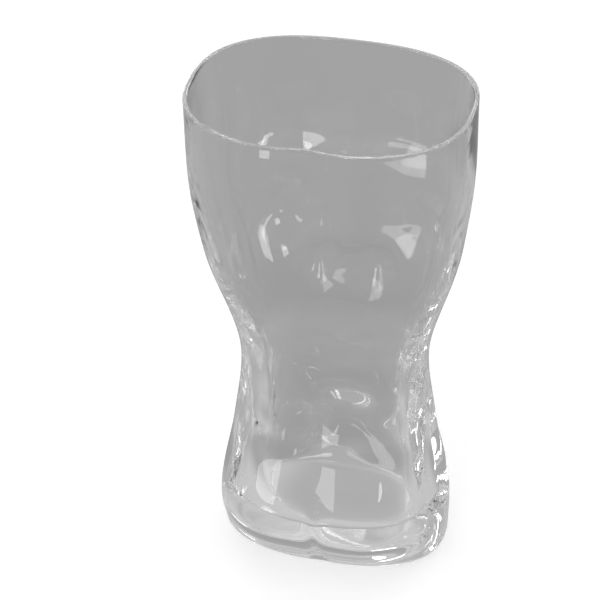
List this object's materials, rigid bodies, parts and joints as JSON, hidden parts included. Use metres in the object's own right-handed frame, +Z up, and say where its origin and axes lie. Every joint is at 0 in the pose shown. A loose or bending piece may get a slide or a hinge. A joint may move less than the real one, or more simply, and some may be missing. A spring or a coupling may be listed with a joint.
{
  "type": "shot glass",
  "caption": "Clear blown shot glass shaped as a plain torso, with a deep cup from the chest rim down to the hips, a thick solid bottom and a flat foot.",
  "frame": {"origin": "middle of the flat foot that the glass stands on", "axes": "+Z up towards the drinking rim, -Y out of the chest, +Y out of the back, X across the width of the torso"},
  "size_m": [0.047, 0.0371, 0.09],
  "materials": {
    "clear_glass": "colourless, glossy, mould-blown soda-lime glass with a fire-polished rim and slight waviness"
  },
  "bodies": {
    "root": {"torso_glass": "clear_glass"}
  },
  "joints": []
}
